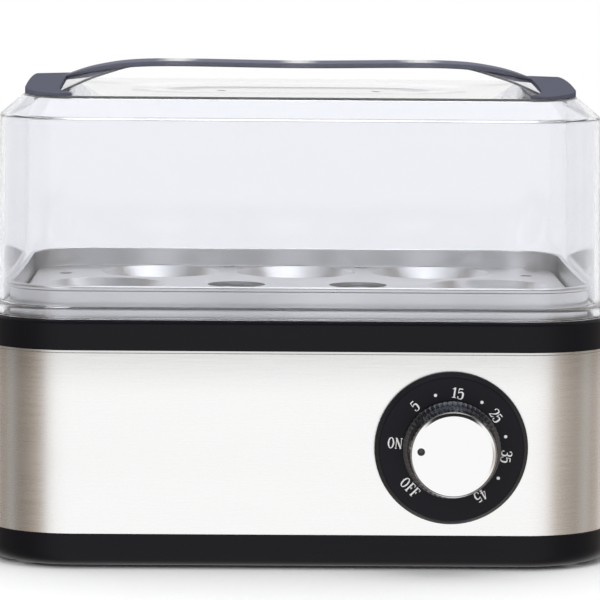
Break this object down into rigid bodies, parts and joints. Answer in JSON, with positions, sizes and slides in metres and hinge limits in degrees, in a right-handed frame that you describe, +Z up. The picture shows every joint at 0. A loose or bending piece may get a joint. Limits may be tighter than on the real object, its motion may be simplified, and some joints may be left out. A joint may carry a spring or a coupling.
{
  "type": "electric egg cooker",
  "caption": "Countertop egg steamer: black base, brushed steel band with rotary timer knob, pressed tray over a heated water pan, clear lift-off lid with arched handle.",
  "frame": {"origin": "centre of the bounding box, on the surface that the feet stand on", "axes": "+Z up, -Y towards the dial and knob, +X to the viewer's right"},
  "size_m": [0.19, 0.1573, 0.1484],
  "materials": {
    "black_plastic": "fine satin moulded polypropylene",
    "dial_black": "satin black with printed marks",
    "foot_rubber": "matte",
    "zinc_steel": "zinc plated",
    "brushed_band": "horizontal brushed grain",
    "silicone": "matte translucent",
    "pan_steel": "drawn and polished",
    "cast_aluminium": "as cast",
    "element_sheath": "dull sheath",
    "phenolic": "moulded phenolic",
    "white_nylon": "moulded nylon",
    "brass_part": "stamped",
    "lead_brown": "silicone insulation",
    "lead_white": "glass-fibre sleeve",
    "lead_blue": "silicone insulation",
    "lead_green": "green and yellow insulation",
    "timer_can": "plated",
    "spring_steel": "blued",
    "shaft_steel": "turned",
    "knob_chrome": "fluted and plated",
    "knob_face": "polished",
    "tray_steel": "pressed and polished",
    "clear_lid": "clear moulded plastic",
    "handle_black": "satin black"
  },
  "bodies": {
    "base": {"base_housing": "black_plastic", "upper_rim": "black_plastic", "dial_plate": "dial_black", "foot_front_left": "foot_rubber", "foot_front_right": "foot_rubber", "foot_rear_left": "foot_rubber", "foot_rear_right": "foot_rubber", "base_screws": "zinc_steel", "steel_wrap": "brushed_band", "rim_seal": "silicone", "water_pan": "pan_steel", "heater_plate": "cast_aluminium", "heating_element": "element_sheath", "element_clamps": "zinc_steel", "clamp_nuts": "zinc_steel", "thermostat": "phenolic", "thermostat_screws": "zinc_steel", "thermal_fuse": "element_sheath", "fuse_clip": "zinc_steel", "terminal_block": "white_nylon", "block_screws": "zinc_steel", "cord_gland": "black_plastic", "earth_screw": "brass_part", "lead_live": "lead_brown", "lead_switched": "lead_brown", "lead_fused": "lead_white", "lead_element": "lead_white", "lead_neutral": "lead_blue", "lead_earth": "lead_green", "timer_plate": "zinc_steel", "timer_case": "timer_can", "timer_screws": "zinc_steel", "mainspring": "spring_steel", "contact_leaves": "brass_part", "contact_block": "phenolic"},
    "timer_knob": {"knob_body": "knob_chrome", "knob_cap": "knob_face", "timer_shaft": "shaft_steel", "main_wheel": "brass_part", "switch_cam": "white_nylon"},
    "governor": {"governor": "brass_part"},
    "tray": {"egg_tray": "tray_steel"},
    "lid": {"lid_shell": "clear_lid", "handle_cover": "handle_black"}
  },
  "joints": [
    {"name": "timer_turn", "type": "hinge", "parent": "base", "child": "timer_knob", "pos_m": [0.045, -0.06315, 0.037], "axis": [0, 1, 0], "range_deg": [-49.4, 233]},
    {"name": "governor_spin", "type": "hinge", "parent": "base", "child": "governor", "pos_m": [0.05974, -0.06255, 0.02668], "axis": [0, 1, 0], "range_deg": [-932, 197.6]},
    {"name": "tray_lift", "type": "slide", "parent": "base", "child": "tray", "axis": [0, 0, 1], "range_m": [0, 0.0527]},
    {"name": "lid_lift", "type": "slide", "parent": "base", "child": "lid", "axis": [0, 0, 1], "range_m": [0, 0.12]}
  ],
  "couplings": [
    {"joint": "governor_spin", "follows": "timer_turn", "ratio": -4}
  ]
}
